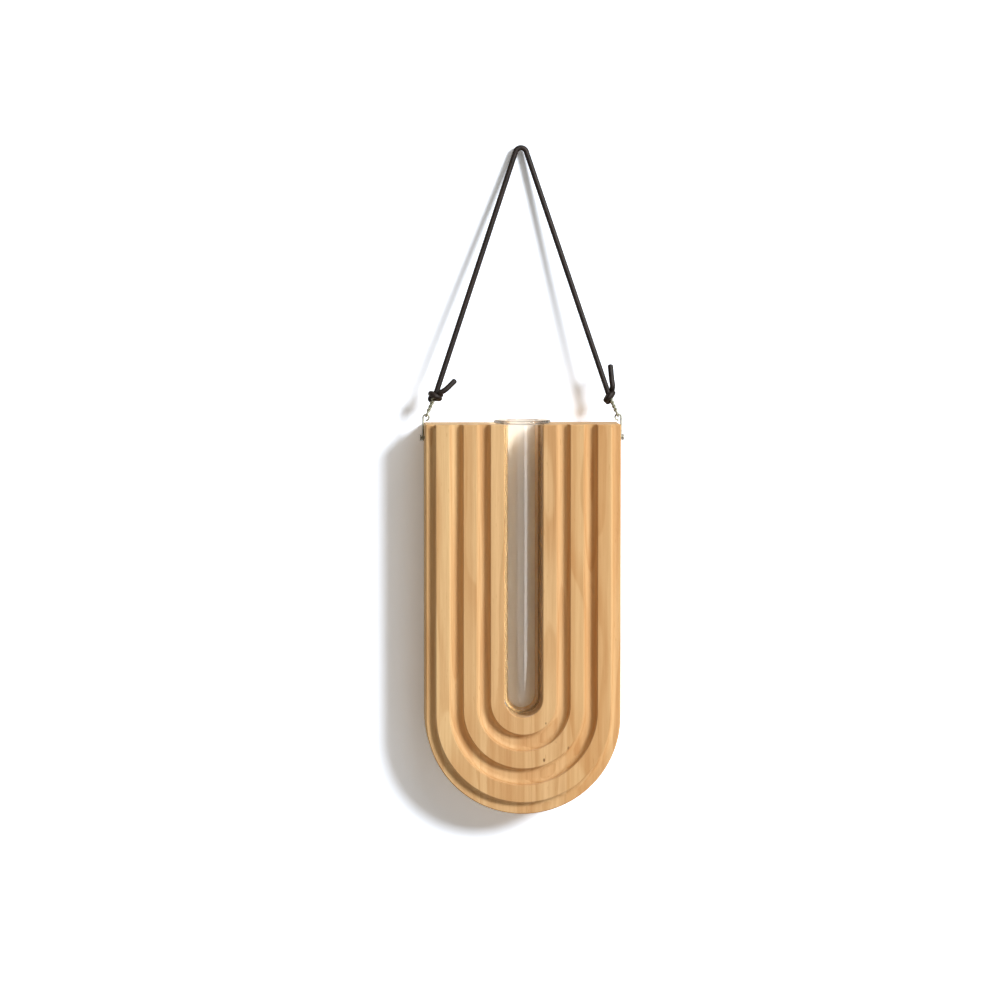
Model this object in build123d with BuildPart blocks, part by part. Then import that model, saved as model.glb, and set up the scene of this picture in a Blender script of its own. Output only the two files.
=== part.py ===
"""Hanging wall vase: a ribbed U-shaped wood board with a glass test tube in its slot, hung from a cord.

Millimetres. +Z is up and the front faces -Y. The wall is the plane y = 0, and the origin is on that wall, on
the axis of the nail or hook that the cord hangs over.
"""

import os
from math import pi

from build123d import *

# Glass tube
tube_diameter = 19.0
tube_wall = 1.2
tube_reach = 149.2  # from the board's top face down to the tube's lowest point
flange_diameter = 29.2
flange_thickness = 1.8
flange_seat_gap = 0.05
mouth_round = 0.6
flange_root_round = 0.6

# Board: nested U shapes, from the slot that holds the tube outwards
slot_side_clearance = 0.3
slot_floor_clearance = 0.75
rib_width = 7.2
groove_width = 6.75
outer_band_width = 5.1
rib_count = 3
bottom_step_share = 1.245  # how far a U's bottom drops for each step that its side goes out
base_thickness = 26.0
rib_height = 4.0
joint_in_groove = 5.2  # from the innermost rib out to each glue joint
rib_edge_ease = 0.4
groove_round = 2.9  # inside corners of the grooves and of the outer band
front_ease = 0.6
back_ease = 0.6
slot_top_ease = 0.8
corner_round = 0.9

# Wire hardware on each side of the board
wire_diameter = 0.9
wire_sides = 8  # the thin wires are eight-sided, which reads as round at their size
nail_drop = 7.2  # from the board's top face down to the nails
nail_diameter = 1.4
nail_bite = 14.0
nail_squeeze = 0.04  # the pilot hole's radius is this much under the nail's
nail_head_diameter = 3.2
nail_head_thickness = 0.8
pin_clearance = 0.1
side_clearance = 0.3
ear_eye_radius = 1.5
ear_rise = 3.15  # from the board's top face up to the middle of the ear's upper eye
eye_turn = 280.0
link_eye_radius = 1.3
link_top_eye_radius = 1.9
link_hook_gap = 0.05
link_sink = 0.76  # how far the middle of the link's upper eye lies inside the knot
twist_turns = 1.5
strand_sink = 0.06  # how far the two twisted strands press into each other

# Cord
cord_diameter = 2.8
wall_nail_radius = 1.4
knot_rise = 15.0  # from the board's top face up to the middle of the knots
knot_length = 6.6
knot_diameter = 7.6
knot_waist_diameter = 5.2
tail_end_round = 0.6
left_tail_length = 9.5
right_tail_length = 13.2
left_tail_drop = 1.3  # how far below the knot's middle the left tail starts
right_tail_offset = 2.2  # how far outside the knot's middle the right tail starts
left_tail_way = (0.79, -0.12, 0.6)  # directions in which the tails leave the knots
right_tail_way = (-0.1, -0.05, 1)

# The cord's free run, from the left knot over the wall nail to the right knot
cord_route = [
    (-43.27, -14.72, -119.886),
    (-2.345, -2.284, 2.122),
    (0.0, -2.179, 3.154),
    (2.345, -2.284, 2.122),
    (43.27, -14.72, -119.886),
]

slot_width = tube_diameter + 2 * slot_side_clearance
slot_depth = tube_reach + slot_floor_clearance
inner_rib_side = slot_width / 2 + rib_width
ring_pitch = rib_width + groove_width
ribs_side = inner_rib_side + (rib_count - 1) * ring_pitch
board_width = 2 * (ribs_side + outer_band_width)
stave_joint = inner_rib_side + joint_in_groove
board_thickness = base_thickness + rib_height
mid_depth = board_thickness / 2
cord_end = Vector(cord_route[-1])
leg_way = (cord_end - Vector(cord_route[-2])).normalized()
knot_centre = cord_end + leg_way * (knot_length / 2)
board_top = knot_centre.Z - knot_rise
wire_radius = wire_diameter / 2
nail_radius = nail_diameter / 2
nail_eye_radius = nail_radius + pin_clearance + wire_radius
nail_height = board_top - nail_drop
nail_depth = mid_depth - nail_eye_radius
ear_side = board_width / 2 + side_clearance + wire_radius

board_back = Plane(origin=(0, 0, board_top), x_dir=(1, 0, 0), z_dir=(0, -1, 0))


def bottom_of(half_width):
    """How far below the board's top a U of this half width ends: each step out goes further down than sideways."""
    return slot_depth + bottom_step_share * (half_width - slot_width / 2)


def u_face(half_width, mode=Mode.ADD):
    """A U-shaped face in the open sketch: straight sides from the top edge, and a half-round bottom."""
    bend = half_width - bottom_of(half_width)
    with BuildLine() as outline:
        Line((half_width, bend), (half_width, 0))
        Line((half_width, 0), (-half_width, 0))
        Line((-half_width, 0), (-half_width, bend))
        ThreePointArc((-half_width, bend), (0, -bottom_of(half_width)), (half_width, bend))
    make_face(outline.edges(), mode=mode)


def export(piece, name):
    """Labels a finished piece and writes it under its own name."""
    piece.part.label = name
    export_step(piece.part, f"parts/{name}.step")


os.makedirs("parts", exist_ok=True)

# Board as glued up: base, ribs with grooves between them, and the slot
with BuildPart() as board:
    with BuildSketch(board_back):
        u_face(board_width / 2)
    extrude(amount=base_thickness)
    with BuildSketch(board_back.offset(base_thickness)):
        for rib in reversed(range(rib_count)):
            rib_inside = slot_width / 2 + rib * ring_pitch
            u_face(rib_inside + rib_width)
            u_face(rib_inside, mode=Mode.SUBTRACT)
    extrude(amount=rib_height)
    with BuildSketch(board_back):
        u_face(slot_width / 2)
    extrude(amount=board_thickness, mode=Mode.SUBTRACT)

    top_edges = board.faces().sort_by(Axis.Z)[-1].edges().filter_by(Axis.Y)
    corner_edges = [edge for edge in top_edges if abs(edge.center().X) > board_width / 2 - front_ease]
    slot_edges = [edge for edge in top_edges if abs(edge.center().X) < slot_width / 2 + front_ease]
    fillet(corner_edges, corner_round)
    chamfer(slot_edges, slot_top_ease)
    rib_edges = board.edges().group_by(Axis.Y)[0]
    chamfer(rib_edges, rib_edge_ease)
    outer_edges = [
        edge
        for edge in board.edges()
        if edge.bounding_box().size.Y < back_ease / 2
        and max(abs(edge.bounding_box().min.X), edge.bounding_box().max.X) > board_width / 2 - corner_round / 2
    ]
    band_edges = [edge for edge in outer_edges if abs(edge.center().Y + base_thickness) < back_ease]
    back_edges = [edge for edge in outer_edges if abs(edge.center().Y) < back_ease]
    chamfer(band_edges, front_ease)
    chamfer(back_edges, back_ease)
    groove_edges = [
        edge
        for edge in board.edges()
        if abs(edge.center().Y + base_thickness) < back_ease
        and edge.bounding_box().size.Z > rib_width
        and max(abs(edge.bounding_box().min.X), edge.bounding_box().max.X) < ribs_side + back_ease
    ]
    fillet(groove_edges, groove_round)

# Staves: the board is cut apart at its two glue joints
with BuildPart() as right_stave:
    add(board.part)
    split(bisect_by=Plane.YZ.offset(stave_joint), keep=Keep.TOP)
    with Locations(Plane(origin=(board_width / 2, -nail_depth, nail_height), z_dir=(1, 0, 0))):
        Hole(nail_radius - nail_squeeze, nail_bite)
export(right_stave, "right_stave")
with BuildPart() as centre_stave:
    add(board.part)
    split(bisect_by=Plane.YZ.offset(stave_joint), keep=Keep.BOTTOM)
    split(bisect_by=Plane.YZ.offset(-stave_joint), keep=Keep.TOP)
export(centre_stave, "centre_stave")

# Glass tube: one turned profile, from the bottom of its bore out over the flange and down the outside
tube_radius = tube_diameter / 2
bore_radius = tube_radius - tube_wall
flange_radius = flange_diameter / 2
flange_bottom = flange_seat_gap
flange_top = flange_bottom + flange_thickness
flange_middle = flange_bottom + flange_thickness / 2
rim_radius = flange_thickness / 2
bottom_centre = tube_radius - tube_reach
tube_profile = Plane(origin=(0, -mid_depth, board_top), x_dir=(1, 0, 0), z_dir=(0, -1, 0))
with BuildPart() as glass_tube:
    with BuildSketch(tube_profile):
        with BuildLine():
            RadiusArc(
                (0, bottom_centre - bore_radius), (bore_radius, bottom_centre), -bore_radius
            )
            Line((bore_radius, bottom_centre), (bore_radius, flange_top - mouth_round))
            RadiusArc(
                (bore_radius, flange_top - mouth_round), (bore_radius + mouth_round, flange_top), mouth_round
            )
            Line((bore_radius + mouth_round, flange_top), (flange_radius - rim_radius, flange_top))
            ThreePointArc(
                (flange_radius - rim_radius, flange_top),
                (flange_radius, flange_middle),
                (flange_radius - rim_radius, flange_bottom),
            )
            Line((flange_radius - rim_radius, flange_bottom), (tube_radius + flange_root_round, flange_bottom))
            RadiusArc(
                (tube_radius + flange_root_round, flange_bottom),
                (tube_radius, flange_bottom - flange_root_round),
                -flange_root_round,
            )
            Line((tube_radius, flange_bottom - flange_root_round), (tube_radius, bottom_centre))
            RadiusArc((tube_radius, bottom_centre), (0, bottom_centre - tube_radius), tube_radius)
            Line((0, bottom_centre - tube_radius), (0, bottom_centre - bore_radius))
        make_face()
    revolve(axis=Axis(origin=(0, -mid_depth, board_top), direction=(0, 0, 1)))
export(glass_tube, "glass_tube")

# Nails: shank and domed head, driven into the middle of each side
head_start = side_clearance + wire_diameter + side_clearance
nail_tip = Plane(origin=(board_width / 2 - nail_bite, -nail_depth, nail_height), x_dir=(0, 1, 0), z_dir=(1, 0, 0))
with BuildPart() as right_nail:
    with BuildSketch(nail_tip):
        Circle(nail_radius)
    extrude(amount=nail_bite + head_start)
    with BuildSketch(nail_tip.offset(nail_bite + head_start)):
        Circle(nail_head_diameter / 2)
    extrude(amount=nail_head_thickness)
    fillet(right_nail.edges().sort_by(Axis.X)[-1], nail_head_thickness / 2)
    chamfer(right_nail.edges().sort_by(Axis.X)[0], nail_radius / 2)
export(right_nail, "right_nail")


# Ears: the wire turns round the nail, runs up the board's side and ends in an eye above the corner
to_right = Vector(1, 0, 0)
to_front = Vector(0, -1, 0)
to_wall = Vector(0, 1, 0)
upwards = Vector(0, 0, 1)
nail_eye_centre = Vector(ear_side, -nail_depth, nail_height)
ear_eye_centre = Vector(ear_side - ear_eye_radius, -mid_depth, board_top + ear_rise)
shank_foot = nail_eye_centre + to_front * nail_eye_radius
shank_head = ear_eye_centre + to_right * ear_eye_radius
with BuildPart() as right_ear:
    with BuildSketch(Plane(origin=shank_foot, x_dir=to_right, z_dir=upwards)):
        RegularPolygon(wire_radius, wire_sides)
    extrude(amount=(shank_head - shank_foot).length)
    with BuildSketch(Plane(origin=shank_foot, x_dir=to_right, z_dir=-upwards)):
        RegularPolygon(wire_radius, wire_sides)
    revolve(axis=Axis(origin=nail_eye_centre, direction=to_right), revolution_arc=eye_turn)
    with BuildSketch(Plane(origin=shank_head, x_dir=to_right, z_dir=upwards)):
        RegularPolygon(wire_radius, wire_sides)
    revolve(axis=Axis(origin=ear_eye_centre, direction=to_front), revolution_arc=eye_turn)
export(right_ear, "right_ear")

# Links: a lower eye through the ear's eye, two strands twisted round each other, and an upper eye in the knot
link_start = ear_eye_centre + upwards * (ear_eye_radius - wire_diameter - link_hook_gap)
link_way = (knot_centre - link_start).normalized()
lower_eye_centre = link_start + link_way * link_eye_radius
upper_eye_centre = knot_centre - link_way * (knot_length / 2 - link_sink)
strand_offset = wire_radius - strand_sink / 2
twist_start = lower_eye_centre + link_way * link_eye_radius
twist_length = (upper_eye_centre - twist_start).length - link_top_eye_radius
twist_plane = Plane(origin=twist_start, x_dir=to_wall, z_dir=link_way)
with BuildPart() as right_link:
    for eye_centre, eye_radius in ((lower_eye_centre, link_eye_radius), (upper_eye_centre, link_top_eye_radius)):
        with BuildSketch(Plane(origin=eye_centre + to_wall * eye_radius, x_dir=to_wall, z_dir=link_way)):
            RegularPolygon(wire_radius, wire_sides)
        revolve(axis=Axis(origin=eye_centre, direction=to_wall.cross(link_way)))
    with BuildLine() as twist_axis:
        Line(twist_start, twist_start + link_way * twist_length)
    with BuildLine(twist_plane) as twist_guide:
        Helix(pitch=twist_length / twist_turns, height=twist_length, radius=link_eye_radius)
    with BuildSketch(twist_plane):
        with Locations((strand_offset, 0), (-strand_offset, 0)):
            RegularPolygon(wire_radius, wire_sides)
    sweep(path=twist_axis.line, binormal=twist_guide.line.edge())
export(right_link, "right_link")

# The left side's pieces are the right side's in the mirror
for piece, name in (
    (right_stave, "left_stave"),
    (right_nail, "left_nail"),
    (right_ear, "left_ear"),
    (right_link, "left_link"),
):
    with BuildPart() as mirrored:
        mirror(piece.part, about=Plane.YZ)
    export(mirrored, name)

# Cord: one run from knot to knot, bent over the wall nail by three equal arcs of that nail's size
hook_arc = wall_nail_radius + cord_diameter / 2
with BuildPart() as hanging_cord:
    with BuildLine() as cord_path:
        FilletPolyline(*cord_route, radius=[hook_arc] * (len(cord_route) - 2))
    with BuildSketch(Plane(origin=cord_path.line @ 0, z_dir=cord_path.line % 0)):
        Circle(cord_diameter / 2)
    sweep(path=cord_path.line)
export(hanging_cord, "hanging_cord")
cord_length = sum(edge.length for edge in cord_path.edges())
arc_radii = [round(edge.radius, 3) for edge in cord_path.edges().filter_by(GeomType.CIRCLE)]
fill = hanging_cord.part.volume / (pi * (cord_diameter / 2) ** 2 * cord_length)
print("cord length", round(cord_length, 2), "arc radii", arc_radii, "volume over section times length", round(fill, 4))


def knot(cord_end, cord_next, tail_start, tail_way, tail_length):
    """Two turns of cord round the cord's end, and the tail that sticks out of them."""
    down = (Vector(cord_end) - Vector(cord_next)).normalized()
    outwards = down.cross(to_wall)
    with BuildPart() as tied:
        with BuildSketch(Plane(origin=cord_end, x_dir=outwards, z_dir=outwards.cross(down))):
            with BuildLine():
                waist = knot_waist_diameter / 2
                bulge = knot_diameter / 2
                Line((0, 0), (waist, 0))
                ThreePointArc((waist, 0), (bulge, knot_length / 4), (waist, knot_length / 2))
                ThreePointArc(
                    (waist, knot_length / 2), (bulge, 3 * knot_length / 4), (waist, knot_length)
                )
                Line((waist, knot_length), (0, knot_length))
                Line((0, knot_length), (0, 0))
            make_face()
        revolve(axis=Axis(origin=cord_end, direction=down))
        with BuildSketch(Plane(origin=tail_start, z_dir=tail_way)):
            Circle(cord_diameter / 2)
        extrude(amount=tail_length)
        fillet(tied.edges().sort_by(Axis(origin=tail_start, direction=tail_way))[-1], tail_end_round)
    return tied


left_tail_start = Vector(-knot_centre.X, knot_centre.Y, knot_centre.Z) - upwards * left_tail_drop
left_knot = knot(cord_route[0], cord_route[1], left_tail_start, left_tail_way, left_tail_length)
export(left_knot, "left_knot")
right_tail_start = knot_centre + to_right * right_tail_offset
right_knot = knot(cord_route[-1], cord_route[-2], right_tail_start, right_tail_way, right_tail_length)
export(right_knot, "right_knot")
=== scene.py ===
"""Looks of the hanging wall vase: pale pine staves, a clear glass tube, bent wire and a dark waxed cord.

Metres. +Z is up, the front faces -Y, and the wall is the plane y = 0.
"""

import math

import bmesh
import bpy
from mathutils import Matrix, Vector


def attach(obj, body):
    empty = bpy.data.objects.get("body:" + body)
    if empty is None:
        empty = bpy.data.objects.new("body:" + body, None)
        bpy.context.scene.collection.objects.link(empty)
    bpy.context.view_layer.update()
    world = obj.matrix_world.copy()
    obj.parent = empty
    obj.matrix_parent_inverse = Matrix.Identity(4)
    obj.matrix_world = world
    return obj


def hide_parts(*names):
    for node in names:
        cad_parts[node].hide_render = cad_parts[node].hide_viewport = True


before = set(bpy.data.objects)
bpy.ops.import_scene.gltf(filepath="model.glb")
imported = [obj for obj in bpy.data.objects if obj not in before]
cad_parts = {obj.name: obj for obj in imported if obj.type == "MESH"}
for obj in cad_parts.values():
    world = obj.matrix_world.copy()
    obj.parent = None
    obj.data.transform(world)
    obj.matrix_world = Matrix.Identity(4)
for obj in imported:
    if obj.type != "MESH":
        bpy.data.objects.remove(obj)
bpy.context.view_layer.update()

MM = 0.001

# Camera, aimed at the point of the board's front plane that is the middle of the picture. Angles are in degrees.
CAMERA_AZIMUTH = -2.8
CAMERA_ELEVATION = 3.8
CAMERA_DISTANCE = 2.5
SENSOR_WIDTH = 36.0  # millimetres, as lenses are measured
PICTURE_WIDTH = 0.510  # how much of the board's front plane the picture takes in
PICTURE_MIDDLE = Vector((-12.0, -28.0, -176.45)) * MM

# Light: a key lamp and a broad soft lamp, both from the upper right, in a white room with one window
KEY_AZIMUTH = 42.5
KEY_ELEVATION = 23.0
KEY_STRENGTH = 2.95
KEY_ANGLE = 16.0
SOFT_AZIMUTH = 27.0
SOFT_ELEVATION = 42.0
SOFT_STRENGTH = 0.46
SOFT_ANGLE = 36.0
LAMP_DISTANCE = 3.0
FILL_STRENGTH = 0.19  # the room's light on the object from the front
REAR_FILL_STRENGTH = 0.35  # and from behind
FILL_TINT = (1.0, 0.86, 0.66, 1)
MIRROR_STRENGTH = 0.25  # the room as glass and wire mirror it, outside the window
WINDOW_AZIMUTH = 20.0
WINDOW_HALF_WIDTH = 9.0
WINDOW_EDGE = 2.0
WINDOW_STRENGTH = 6.0
WHITE = (1, 1, 1, 1)

# Wall, close behind the object, and floor
WALL_BACK = 0.0008
WALL_HALF = 1.6
FLOOR_HEIGHT = -0.62
FLOOR_REACH = 3.2
WALL_AS_SEEN = (1.44, 1.59, 1.84, 1)  # how bright the wall and floor look to the camera
TOUCHING = 0.002  # a face that lies this close against the wall gets its light through the paint
SWING_DEPTH = 0.12  # how far past the wall's plane a swung board is looked for

# Wood: how much each part of the figure darkens it
LATE_WOOD_WEIGHT = 0.36
BROAD_WEIGHT = 0.34
MEDIUM_WEIGHT = 0.30
FINE_WEIGHT = 0.6
DASH_WEIGHT = 0.6
PIN_KNOT_COLOUR = (0.16, 0.065, 0.02, 1)

# Links, each from inside its ear's upper eye to the middle of the cord's knot
LINK_START = Vector((49.25, -15.0, -134.35)) * MM
LINK_EYE_RADIUS = 1.3 * MM
LINK_WIRE_RADIUS = 0.52 * MM
LINK_TURNS = 2.5

SHARP_ANGLE = 48.0  # edges that bend more than this stay sharp, so the eight-sided wires look round

# Cord
CORD_DIAMETER = 2.8 * MM
KNOT_LENGTH = 6.6 * MM
TIP_SHARE = 0.7  # how long a tube's rounded end is, as a share of the tube's radius
CORD_ROUTE = [
    (-43.27, -14.72, -119.886),
    (-7.663, -3.900, -13.732),
    (-3.155, -2.530, -0.294),
    (-2.345, -2.284, 2.122),
    (0.0, -2.179, 3.154),
    (2.345, -2.284, 2.122),
    (3.155, -2.530, -0.294),
    (7.663, -3.900, -13.732),
    (43.27, -14.72, -119.886),
]


def aim(thing, azimuth, elevation, distance, target):
    """Puts a camera or lamp round a target and turns it to face the target."""
    a = math.radians(azimuth)
    e = math.radians(elevation)
    back = Vector((math.sin(a) * math.cos(e), -math.cos(a) * math.cos(e), math.sin(e)))
    thing.location = target + back * distance
    thing.rotation_euler = (-back).to_track_quat("-Z", "Y").to_euler()


def place(name, data):
    """An object of this data, linked into the scene."""
    made = bpy.data.objects.new(name, data)
    bpy.context.scene.collection.objects.link(made)
    return made


# Camera
camera = place("camera", bpy.data.cameras.new("camera"))
camera.data.sensor_width = SENSOR_WIDTH
camera.data.lens = SENSOR_WIDTH * CAMERA_DISTANCE / PICTURE_WIDTH
camera.data.clip_end = 20.0
aim(camera, CAMERA_AZIMUTH, CAMERA_ELEVATION, CAMERA_DISTANCE, PICTURE_MIDDLE)
bpy.context.scene.camera = camera
bpy.context.scene.view_settings.view_transform = "Standard"


def node(tree, kind, inputs=None, **settings):
    """A shader node with its settings made and its inputs set or linked."""
    made = tree.nodes.new(kind)
    for key, value in settings.items():
        setattr(made, key, value)
    for key, value in (inputs or {}).items():
        socket = made.inputs[key]
        if isinstance(value, bpy.types.NodeSocket):
            tree.links.new(value, socket)
        else:
            socket.default_value = value
    return made


def maths(tree, operation, *values):
    """The result of a Math node."""
    return node(tree, "ShaderNodeMath", dict(enumerate(values)), operation=operation).outputs[0]


def mixed(tree, factor, first, second, blend="MIX"):
    """Two colours mixed by a factor."""
    made = node(tree, "ShaderNodeMix", data_type="RGBA", blend_type=blend)
    for index, value in ((0, factor), (6, first), (7, second)):
        if isinstance(value, bpy.types.NodeSocket):
            tree.links.new(value, made.inputs[index])
        else:
            made.inputs[index].default_value = value
    return made.outputs[2]


def stepped(tree, value, low, high):
    """A smooth step of a value, from 0 at low to 1 at high."""
    made = node(tree, "ShaderNodeMapRange", {"Value": value, "From Min": low, "From Max": high},
                interpolation_type="SMOOTHSTEP")
    return made.outputs["Result"]


def material(name):
    """A new material with its Principled shader."""
    made = bpy.data.materials.new(name)
    made.use_nodes = True
    return made, made.node_tree, made.node_tree.nodes["Principled BSDF"]


def group(name, inputs, outputs):
    """A new shader node group with its sockets, and its input and output nodes."""
    made = bpy.data.node_groups.new(name, "ShaderNodeTree")
    for label, kind, default in inputs:
        socket = made.interface.new_socket(label, in_out="INPUT", socket_type=kind)
        socket.default_value = default
    for label, kind in outputs:
        made.interface.new_socket(label, in_out="OUTPUT", socket_type=kind)
    return made, made.nodes.new("NodeGroupInput"), made.nodes.new("NodeGroupOutput")


def wood_figure_group():
    """Growth rings, fibres and short resin lines of pine whose grain runs up Z, from coordinates in metres."""
    tree, given, result = group(
        "wood_figure",
        [
            ("Place", "NodeSocketVector", (0, 0, 0)),
            ("Pith", "NodeSocketVector", (0, 0, 0)),
            ("Ring Gap", "NodeSocketFloat", 2.4),
            ("Light Wood", "NodeSocketColor", (1, 1, 1, 1)),
            ("Deep Wood", "NodeSocketColor", (0, 0, 0, 1)),
            ("Seed", "NodeSocketFloat", 0),
        ],
        [
            ("Colour", "NodeSocketColor"),
            ("Height", "NodeSocketFloat"),
            ("Roughness", "NodeSocketFloat"),
        ],
    )
    place_mm = node(tree, "ShaderNodeVectorMath", {0: given.outputs["Place"], "Scale": 1000}, operation="SCALE")
    spot = place_mm.outputs[0]

    def streaks(across, along, detail=2.0, rough=0.5):
        """Noise stretched along the grain: across and along are its sizes in millimetres."""
        squeezed = node(tree, "ShaderNodeVectorMath", {0: spot, 1: (1 / across, 1 / across, 1 / along)},
                        operation="MULTIPLY")
        noise = node(
            tree, "ShaderNodeTexNoise",
            {"Vector": squeezed.outputs[0], "W": given.outputs["Seed"], "Scale": 1, "Detail": detail,
             "Roughness": rough},
            noise_dimensions="4D",
        )
        return noise.outputs["Fac"]

    drift = maths(tree, "MULTIPLY", maths(tree, "SUBTRACT", streaks(30, 160, 1.0), 0.5), 16)
    from_pith = node(tree, "ShaderNodeVectorMath", {0: spot, 1: given.outputs["Pith"]}, operation="SUBTRACT")
    flat = node(tree, "ShaderNodeVectorMath", {0: from_pith.outputs[0], 1: (1, 1, 0.02)}, operation="MULTIPLY")
    radius = node(tree, "ShaderNodeVectorMath", {0: flat.outputs[0]}, operation="LENGTH").outputs["Value"]
    rings = maths(tree, "DIVIDE", maths(tree, "ADD", radius, drift), given.outputs["Ring Gap"])
    phase = maths(tree, "FRACT", rings)
    late = maths(tree, "MULTIPLY", stepped(tree, phase, 0.35, 0.9),
                 maths(tree, "SUBTRACT", 1, stepped(tree, phase, 0.93, 1.0)))

    broad = stepped(tree, streaks(7, 260, 2.0), 0.35, 0.68)
    medium = stepped(tree, streaks(1.6, 60, 3.0, 0.6), 0.3, 0.75)
    fine = streaks(0.35, 14, 3.0, 0.6)
    dashes = stepped(tree, streaks(0.42, 5, 1.0), 0.70, 0.78)

    depth = maths(tree, "MULTIPLY", late, LATE_WOOD_WEIGHT)
    depth = maths(tree, "ADD", depth, maths(tree, "MULTIPLY", broad, BROAD_WEIGHT))
    depth = maths(tree, "ADD", depth, maths(tree, "MULTIPLY", medium, MEDIUM_WEIGHT))
    fine_swing = maths(tree, "SUBTRACT", fine, 0.5)
    depth = maths(tree, "ADD", depth, maths(tree, "MULTIPLY", fine_swing, FINE_WEIGHT))
    depth = maths(tree, "ADD", depth, maths(tree, "MULTIPLY", dashes, DASH_WEIGHT))
    colour = mixed(tree, depth, given.outputs["Light Wood"], given.outputs["Deep Wood"])
    tree.links.new(colour, result.inputs["Colour"])
    height = maths(tree, "SUBTRACT", maths(tree, "ADD", fine, maths(tree, "MULTIPLY", late, 0.35)), dashes)
    tree.links.new(height, result.inputs["Height"])
    rough = maths(tree, "ADD", 0.54, maths(tree, "MULTIPLY", fine, 0.18))
    tree.links.new(rough, result.inputs["Roughness"])
    return tree


wood_figure = wood_figure_group()


def band_mask(tree, spot_x, middle, half_width, softness):
    """A mask of a band that runs up the board: 1 within half_width of middle, in millimetres."""
    away = maths(tree, "ABSOLUTE", maths(tree, "SUBTRACT", spot_x, middle))
    return maths(tree, "SUBTRACT", 1, stepped(tree, away, half_width - softness, half_width + softness))


def knot_mask(tree, spot, middle, size):
    """A mask of a pin knot: 1 at its middle, 0 from size away, in millimetres."""
    off = node(tree, "ShaderNodeVectorMath", {0: spot, 1: middle}, operation="SUBTRACT")
    flat = node(tree, "ShaderNodeVectorMath", {0: off.outputs[0], 1: (1, 0.1, 0.6)}, operation="MULTIPLY")
    away = node(tree, "ShaderNodeVectorMath", {0: flat.outputs[0]}, operation="LENGTH").outputs["Value"]
    return maths(tree, "SUBTRACT", 1, stepped(tree, away, size * 0.4, size))


def wood(name, light, deep, pith, ring_gap, seed, bands=(), knots=()):
    """Pine of one stave: its two tones, where its pith lies, and its own darker bands and pin knots."""
    made, tree, shader = material(name)
    where = node(tree, "ShaderNodeTexCoord").outputs["Object"]
    figure = node(
        tree, "ShaderNodeGroup",
        {"Place": where, "Pith": pith, "Ring Gap": ring_gap, "Light Wood": (*light, 1), "Deep Wood": (*deep, 1),
         "Seed": seed},
        node_tree=wood_figure,
    )
    colour = figure.outputs["Colour"]
    spot = node(tree, "ShaderNodeVectorMath", {0: where, "Scale": 1000}, operation="SCALE").outputs[0]
    spot_x = node(tree, "ShaderNodeSeparateXYZ", {0: spot}).outputs["X"]
    wander = node(tree, "ShaderNodeTexNoise", {"Vector": spot, "Scale": 0.03, "Detail": 3.0}).outputs["Fac"]
    bent_x = maths(tree, "ADD", spot_x, maths(tree, "MULTIPLY", maths(tree, "SUBTRACT", wander, 0.5), 3.0))
    for middle, half_width, softness, weight in bands:
        mask = maths(tree, "MULTIPLY", band_mask(tree, bent_x, middle, half_width, softness), weight)
        colour = mixed(tree, mask, colour, (*deep, 1))
    for middle, size, weight in knots:
        mask = maths(tree, "MULTIPLY", knot_mask(tree, spot, middle, size), weight)
        colour = mixed(tree, mask, colour, PIN_KNOT_COLOUR)
    bump = node(tree, "ShaderNodeBump", {"Height": figure.outputs["Height"], "Strength": 0.35,
                                         "Distance": 0.00012})
    tree.links.new(colour, shader.inputs["Base Color"])
    tree.links.new(figure.outputs["Roughness"], shader.inputs["Roughness"])
    tree.links.new(bump.outputs["Normal"], shader.inputs["Normal"])
    shader.inputs["Specular IOR Level"].default_value = 0.28
    shader.inputs["Sheen Weight"].default_value = 0.35
    shader.inputs["Sheen Roughness"].default_value = 0.3
    shader.inputs["Sheen Tint"].default_value = (1.0, 0.93, 0.78, 1)
    return made


def glass():
    """Clear glass that lets lamp light through to what is behind it."""
    made, tree, shader = material("clear_glass")
    shader.inputs["Base Color"].default_value = (0.98, 0.965, 0.945, 1)
    shader.inputs["Roughness"].default_value = 0.0
    shader.inputs["IOR"].default_value = 1.47
    shader.inputs["Transmission Weight"].default_value = 1.0
    clear = node(tree, "ShaderNodeBsdfTransparent", {"Color": (0.93, 0.95, 0.94, 1)})
    path = node(tree, "ShaderNodeLightPath")
    both = node(tree, "ShaderNodeMixShader", {0: path.outputs["Is Shadow Ray"], 1: shader.outputs[0],
                                              2: clear.outputs[0]})
    tree.links.new(both.outputs[0], tree.nodes["Material Output"].inputs["Surface"])
    return made


def wire(name, colour, roughness):
    """Drawn steel wire with a dull zinc skin."""
    made, tree, shader = material(name)
    where = node(tree, "ShaderNodeTexCoord").outputs["Object"]
    spots = node(tree, "ShaderNodeTexNoise", {"Vector": where, "Scale": 900, "Detail": 3.0}).outputs["Fac"]
    dull = stepped(tree, spots, 0.35, 0.75)
    tone = mixed(tree, dull, (*colour, 1), (*(0.6 * c for c in colour), 1))
    tree.links.new(tone, shader.inputs["Base Color"])
    tree.links.new(maths(tree, "ADD", roughness, maths(tree, "MULTIPLY", dull, 0.2)), shader.inputs["Roughness"])
    bump = node(tree, "ShaderNodeBump", {"Height": spots, "Strength": 0.3, "Distance": 0.00005})
    tree.links.new(bump.outputs["Normal"], shader.inputs["Normal"])
    shader.inputs["Metallic"].default_value = 1.0
    return made


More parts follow.
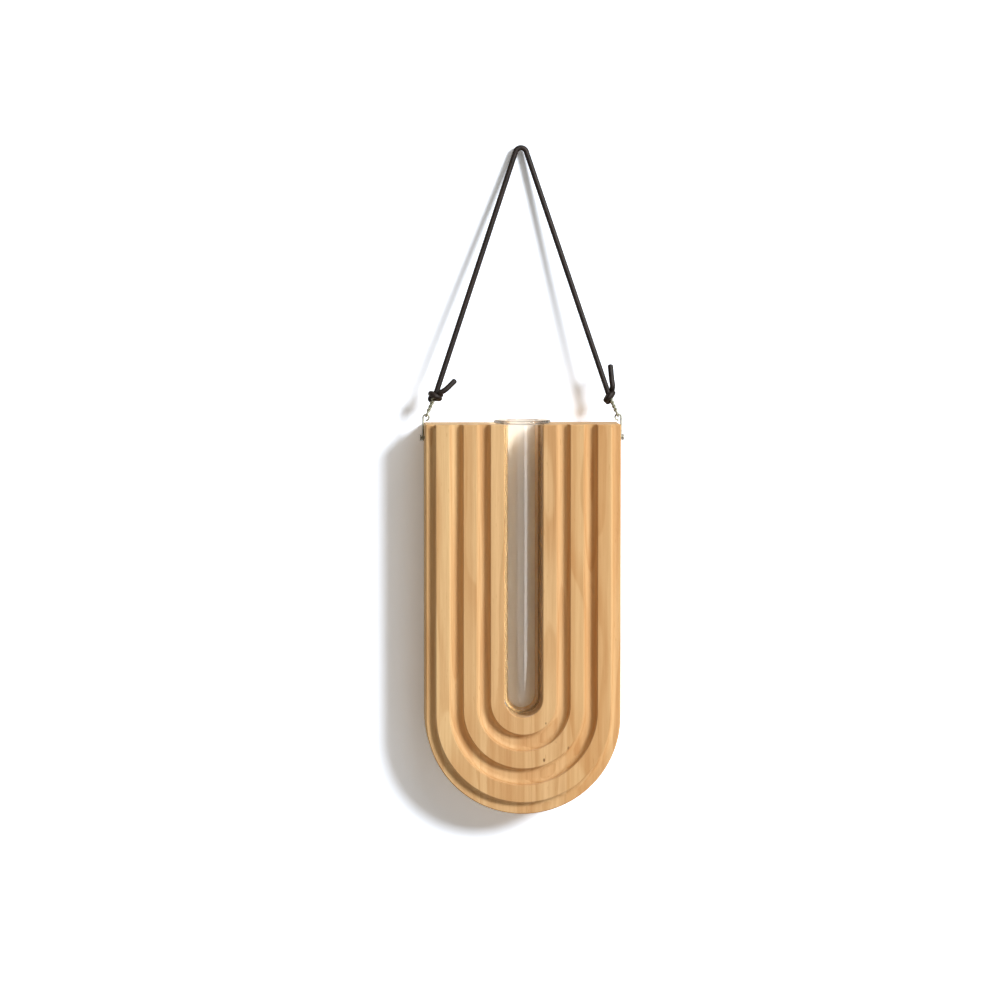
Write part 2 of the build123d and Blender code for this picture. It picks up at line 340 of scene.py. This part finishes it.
def waxed_cord():
    """Dark brown waxed cord: fine pores and a soft sheen."""
    made, tree, shader = material("waxed_cord")
    where = node(tree, "ShaderNodeTexCoord").outputs["Object"]
    grain = node(tree, "ShaderNodeTexNoise", {"Vector": where, "Scale": 1400, "Detail": 4.0,
                                              "Roughness": 0.65}).outputs["Fac"]
    worn = node(tree, "ShaderNodeTexNoise", {"Vector": where, "Scale": 160, "Detail": 3.0}).outputs["Fac"]
    tone = mixed(tree, stepped(tree, worn, 0.4, 0.7), (0.009, 0.005, 0.004, 1), (0.018, 0.010, 0.008, 1))
    tone = mixed(tree, stepped(tree, grain, 0.55, 0.8), tone, (0.026, 0.017, 0.014, 1))
    tree.links.new(tone, shader.inputs["Base Color"])
    tree.links.new(maths(tree, "ADD", 0.42, maths(tree, "MULTIPLY", grain, 0.25)), shader.inputs["Roughness"])
    bump = node(tree, "ShaderNodeBump", {"Height": grain, "Strength": 0.5, "Distance": 0.0001})
    tree.links.new(bump.outputs["Normal"], shader.inputs["Normal"])
    shader.inputs["Specular IOR Level"].default_value = 0.3
    return made


# Wood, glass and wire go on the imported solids
stave_woods = {
    "left_stave": wood(
        "left_stave_wood", (0.785, 0.545, 0.28), (0.56, 0.30, 0.12), (-30.0, 90.0, 0.0), 2.1, 3.1,
        bands=[(-29.5, 3.4, 1.2, 0.42)],
    ),
    "centre_stave": wood(
        "centre_stave_wood", (0.775, 0.52, 0.265), (0.55, 0.29, 0.115), (6.0, 120.0, 0.0), 2.6, 7.7,
        bands=[(-1.7, 1.7, 0.5, 0.40), (3.8, 0.25, 0.15, 0.5)],
        knots=[((10.5, -30.0, -309.8), 0.75, 0.9), ((11.4, -30.0, -290.9), 0.5, 0.6),
               ((16.6, -26.0, -300.6), 0.6, 0.5)],
    ),
    "right_stave": wood(
        "right_stave_wood", (0.76, 0.50, 0.245), (0.56, 0.28, 0.10), (60.0, 100.0, 0.0), 2.3, 12.4,
        bands=[(39.0, 4.0, 1.5, 0.30)],
        knots=[((23.0, -30.0, -303.8), 0.8, 0.6)],
    ),
}
nail_steel = wire("nail_steel", (0.30, 0.29, 0.24), 0.45)
galvanised = wire("galvanised_wire", (0.42, 0.43, 0.34), 0.52)
finishes = dict(stave_woods)
finishes["glass_tube"] = glass()
for side in ("left", "right"):
    finishes[side + "_nail"] = nail_steel
    finishes[side + "_ear"] = galvanised
for name, finish in finishes.items():
    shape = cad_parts[name]
    for slot in shape.material_slots:
        slot.material = finish
    shape.data.shade_smooth()
    shape.data.set_sharp_from_angle(angle=math.radians(SHARP_ANGLE))


def nurbs(name, points, radius):
    """A curve of one open spline through these control points, as a round tube where radius isn't 0."""
    data = bpy.data.curves.new(name, "CURVE")
    data.dimensions = "3D"
    data.resolution_u = 12
    data.bevel_depth = radius
    data.bevel_resolution = 6
    spline = data.splines.new("NURBS")
    spline.points.add(len(points) - 1)
    for point, target in zip(spline.points, points):
        point.co = (*target, 1)
    spline.order_u = 3
    spline.use_endpoint_u = True
    return place(name, data)


def followed(points):
    """The points of the smooth line that these control points give."""
    guide = nurbs("guide", points, 0.0)
    bpy.context.view_layer.update()
    line = bpy.data.meshes.new_from_object(guide.evaluated_get(bpy.context.evaluated_depsgraph_get()))
    found = [v.co.copy() for v in line.vertices]
    bpy.data.objects.remove(guide)
    return found


def tube(name, path, radius, sides=20, cap_rings=5):
    """A round tube along a path, open where it starts and rounded where it ends."""
    mesh = bmesh.new()
    rings = []
    across = None
    for index, point in enumerate(path):
        ahead = path[min(index + 1, len(path) - 1)] - path[max(index - 1, 0)]
        ahead.normalize()
        if across is None:
            across = ahead.orthogonal().normalized()
        across = (across - ahead * across.dot(ahead)).normalized()
        rings.append((point, ahead, across, radius))
    end_point, end_ahead, end_across, _ = rings[-1]
    for step in range(1, cap_rings):
        turn = math.pi / 2 * step / cap_rings
        rings.append((end_point + end_ahead * radius * TIP_SHARE * math.sin(turn), end_ahead, end_across,
                      radius * math.cos(turn)))
    last = None
    for point, ahead, side, ring_radius in rings:
        other = ahead.cross(side)
        ring = []
        for index in range(sides):
            angle = 2 * math.pi * index / sides
            ring.append(mesh.verts.new(point + (side * math.cos(angle) + other * math.sin(angle)) * ring_radius))
        if last:
            for index in range(sides):
                following = (index + 1) % sides
                mesh.faces.new((last[index], last[following], ring[following], ring[index]))
        last = ring
    tip = mesh.verts.new(end_point + end_ahead * radius * TIP_SHARE)
    for index in range(sides):
        mesh.faces.new((last[index], last[(index + 1) % sides], tip))
    for face in mesh.faces:
        face.smooth = True
    data = bpy.data.meshes.new(name)
    mesh.to_mesh(data)
    mesh.free()
    return place(name, data)


# Cord: the free run over the wall nail, then a wrapped knot at each end
cord_finish = waxed_cord()
cord_points = [Vector(p) * MM for p in CORD_ROUTE]
hanging_cord = nurbs("cord_run", cord_points, CORD_DIAMETER / 2)
hanging_cord.data.materials.append(cord_finish)


def knot(name, end, before, turns):
    """The cord's end, wrapped round itself: turns are places along the knot, outwards and to the front, in mm."""
    down = (end - before).normalized()
    outwards = Vector((down.x, 0, 0)).normalized()
    outwards = (outwards - down * outwards.dot(down)).normalized()
    front = Vector((0, -1, 0))
    front = (front - down * front.dot(down)).normalized()
    middle = end + down * KNOT_LENGTH / 2
    points = [middle + (down * a + outwards * o + front * f) * MM for a, o, f in turns]
    made = tube(name, followed(points), CORD_DIAMETER / 2)
    made.data.materials.append(cord_finish)
    return made


def wraps(radius, first, last, start_turn, turns, tilt=0.0, steps_a_turn=8):
    """Points round the standing cord, climbing from first to last along it. Turn 0 is at the front.

    The outer side lies higher than the middle by tilt.
    """
    count = round(abs(turns) * steps_a_turn)
    found = []
    for index in range(count + 1):
        share = index / count
        angle = 2 * math.pi * (start_turn + turns * share)
        along = first + (last - first) * share - tilt * math.sin(angle)
        found.append((along, radius * math.sin(angle), radius * math.cos(angle)))
    return found


left_turns = [(-3.3, 0, 0), (-1.2, 0, 0), (1.0, 0, -0.2), (2.9, 0.2, -1.2), (3.6, 1.4, -2.6)]
left_turns += wraps(2.75, 2.2, -0.9, 0.375, 1.55)
left_turns += [(-3.0, -3.6, 3.0), (-6.3, -5.4, 2.6), (-9.3, -6.9, 2.0)]
left_knot = knot("left_knot_turns", cord_points[0], cord_points[1], left_turns)
right_turns = [(-3.3, 0, 0), (-1.2, 0, 0), (1.0, 0, -0.2), (2.9, -0.2, -1.2), (3.6, -1.4, -2.6)]
right_turns += wraps(2.45, 2.4, 0.2, -0.375, -1.40, tilt=1.7)
right_turns += [(-3.2, 3.3, 1.6), (-6.2, 3.8, 0.9), (-9.5, 4.6, 0.5), (-13.2, 5.5, 0.3)]
right_knot = knot("right_knot_turns", cord_points[-1], cord_points[-2], right_turns)


def twisted_link(name, start, knot_middle, eye_steps=16, twist_steps=40):
    """Wire doubled through the ear's eye, its two strands twisted round each other up into the knot."""
    up = (knot_middle - start).normalized()
    wall_way = Vector((0, 1, 0))
    wall_way = (wall_way - up * wall_way.dot(up)).normalized()
    sideways = up.cross(wall_way)
    eye_middle = start + up * LINK_EYE_RADIUS
    neck = math.asin(LINK_WIRE_RADIUS / LINK_EYE_RADIUS)
    twist_start = eye_middle + up * LINK_EYE_RADIUS * math.cos(neck)
    twist_length = (knot_middle - twist_start).length

    def strand(share, phase):
        """A point of one strand, at this share of the way from the eye to the knot."""
        angle = phase + 2 * math.pi * LINK_TURNS * share
        away = wall_way * math.cos(angle) + sideways * math.sin(angle)
        return twist_start + up * twist_length * share + away * LINK_WIRE_RADIUS

    path = [strand(1 - index / twist_steps, 0) for index in range(twist_steps)]
    for index in range(eye_steps + 1):
        angle = neck + (2 * math.pi - 2 * neck) * index / eye_steps
        path.append(eye_middle + (up * math.cos(angle) + wall_way * math.sin(angle)) * LINK_EYE_RADIUS)
    path += [strand((index + 1) / twist_steps, math.pi) for index in range(twist_steps)]
    made = tube(name, path, LINK_WIRE_RADIUS, sides=12)
    made.data.materials.append(galvanised)
    return made


for side, cord_end, cord_next in ((-1, cord_points[0], cord_points[1]), (1, cord_points[-1], cord_points[-2])):
    side_name = "left" if side < 0 else "right"
    start = Vector((side * LINK_START.x, LINK_START.y, LINK_START.z))
    knot_middle = cord_end + (cord_end - cord_next).normalized() * KNOT_LENGTH / 2
    link = twisted_link(side_name + "_link_wire", start, knot_middle)
    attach(link, "hanger")
    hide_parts(side_name + "_link")

for piece, cad_node in ((hanging_cord, "hanging_cord"), (left_knot, "left_knot"), (right_knot, "right_knot")):
    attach(piece, "hanger")
    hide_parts(cad_node)


def wall_finish(name, bounce):
    """Matt white paint. It can't be seen from behind, and lets light through to a face that lies against it.

    Where the swung board reaches past the wall's plane, the paint in front of it is clear to the eye.
    """
    made, tree, shader = material(name)
    path = node(tree, "ShaderNodeLightPath")
    colour = mixed(tree, path.outputs["Is Camera Ray"], (*bounce, 1), WALL_AS_SEEN)
    paint = node(tree, "ShaderNodeBsdfDiffuse", {"Color": colour})
    clear = node(tree, "ShaderNodeBsdfTransparent")
    behind = node(tree, "ShaderNodeNewGeometry").outputs["Backfacing"]
    near = maths(tree, "LESS_THAN", path.outputs["Ray Length"], TOUCHING)
    carried = maths(tree, "MAXIMUM", path.outputs["Is Diffuse Ray"], path.outputs["Is Shadow Ray"])
    against = maths(tree, "MULTIPLY", near, carried)
    nothing_past = node(tree, "ShaderNodeAmbientOcclusion", {"Distance": SWING_DEPTH}, inside=True, samples=10)
    past = maths(tree, "LESS_THAN", nothing_past.outputs["AO"], 0.999)
    looked_through = maths(tree, "MAXIMUM", path.outputs["Is Camera Ray"], path.outputs["Is Transmission Ray"])
    in_the_way = maths(tree, "MULTIPLY", looked_through, past)
    hidden = maths(tree, "MAXIMUM", maths(tree, "MAXIMUM", behind, against), in_the_way)
    both = node(tree, "ShaderNodeMixShader", {0: hidden, 1: paint.outputs[0], 2: clear.outputs[0]})
    tree.links.new(both.outputs[0], tree.nodes["Material Output"].inputs["Surface"])
    tree.nodes.remove(shader)
    return made


def panel(name, corners, finish):
    """A flat four-cornered stage piece."""
    data = bpy.data.meshes.new(name)
    data.from_pydata(corners, [], [(0, 1, 2, 3)])
    data.materials.append(finish)
    made = place(name, data)
    return made


wall_paint = wall_finish("wall_paint", (0.85, 0.82, 0.78))
floor_paint = wall_finish("floor_paint", (0.46, 0.44, 0.415))
panel(
    "wall",
    [(-WALL_HALF, WALL_BACK, FLOOR_HEIGHT), (WALL_HALF, WALL_BACK, FLOOR_HEIGHT),
     (WALL_HALF, WALL_BACK, WALL_HALF), (-WALL_HALF, WALL_BACK, WALL_HALF)],
    wall_paint,
)
panel(
    "floor",
    [(-FLOOR_REACH, -FLOOR_REACH, FLOOR_HEIGHT), (FLOOR_REACH, -FLOOR_REACH, FLOOR_HEIGHT),
     (FLOOR_REACH, FLOOR_REACH, FLOOR_HEIGHT), (-FLOOR_REACH, FLOOR_REACH, FLOOR_HEIGHT)],
    floor_paint,
)

# Lamps
for name, azimuth, elevation, strength, angle, colour in (
    ("key_lamp", KEY_AZIMUTH, KEY_ELEVATION, KEY_STRENGTH, KEY_ANGLE, (1.0, 0.99, 0.97)),
    ("soft_lamp", SOFT_AZIMUTH, SOFT_ELEVATION, SOFT_STRENGTH, SOFT_ANGLE, (1.0, 0.95, 0.87)),
):
    lamp = place(name, bpy.data.lights.new(name, "SUN"))
    lamp.data.energy = strength
    lamp.data.angle = math.radians(angle)
    lamp.data.color = colour
    aim(lamp, azimuth, elevation, LAMP_DISTANCE, PICTURE_MIDDLE)

# Room: white where it is seen, and brighter at a window that only mirror-like surfaces show
world = bpy.data.worlds.new("room")
world.use_nodes = True
bpy.context.scene.world = world
room = world.node_tree
sky = room.nodes["Background"]
path = node(room, "ShaderNodeLightPath")
seen = maths(room, "MAXIMUM", path.outputs["Is Camera Ray"], path.outputs["Is Transmission Ray"])
way = node(room, "ShaderNodeSeparateXYZ", {0: node(room, "ShaderNodeTexCoord").outputs["Generated"]})
lit = node(room, "ShaderNodeMapRange", {"Value": way.outputs["Y"], "From Min": 0.0, "From Max": 0.3,
                                        "To Min": FILL_STRENGTH, "To Max": REAR_FILL_STRENGTH}).outputs["Result"]
azimuth = maths(room, "ARCTAN2", way.outputs["X"], maths(room, "MULTIPLY", way.outputs["Y"], -1))
beside = maths(room, "ABSOLUTE", maths(room, "SUBTRACT", azimuth, math.radians(WINDOW_AZIMUTH)))
pane = maths(room, "SUBTRACT", 1, stepped(room, beside, math.radians(WINDOW_HALF_WIDTH - WINDOW_EDGE),
                                          math.radians(WINDOW_HALF_WIDTH + WINDOW_EDGE)))
mirrored = maths(room, "MULTIPLY", path.outputs["Is Glossy Ray"],
                 maths(room, "SUBTRACT", 1, path.outputs["Is Transmission Ray"]))
reflected = maths(room, "ADD", MIRROR_STRENGTH, maths(room, "MULTIPLY", pane, WINDOW_STRENGTH))
strength = lit
for factor, value in ((mirrored, reflected), (seen, 1.0)):
    chosen = node(room, "ShaderNodeMix", data_type="FLOAT")
    for index, socket_value in ((0, factor), (2, strength), (3, value)):
        if isinstance(socket_value, float):
            chosen.inputs[index].default_value = socket_value
        else:
            room.links.new(socket_value, chosen.inputs[index])
    strength = chosen.outputs[0]
room.links.new(strength, sky.inputs["Strength"])
tint = mixed(room, maths(room, "MAXIMUM", seen, mirrored), FILL_TINT, WHITE)
room.links.new(tint, sky.inputs["Color"])
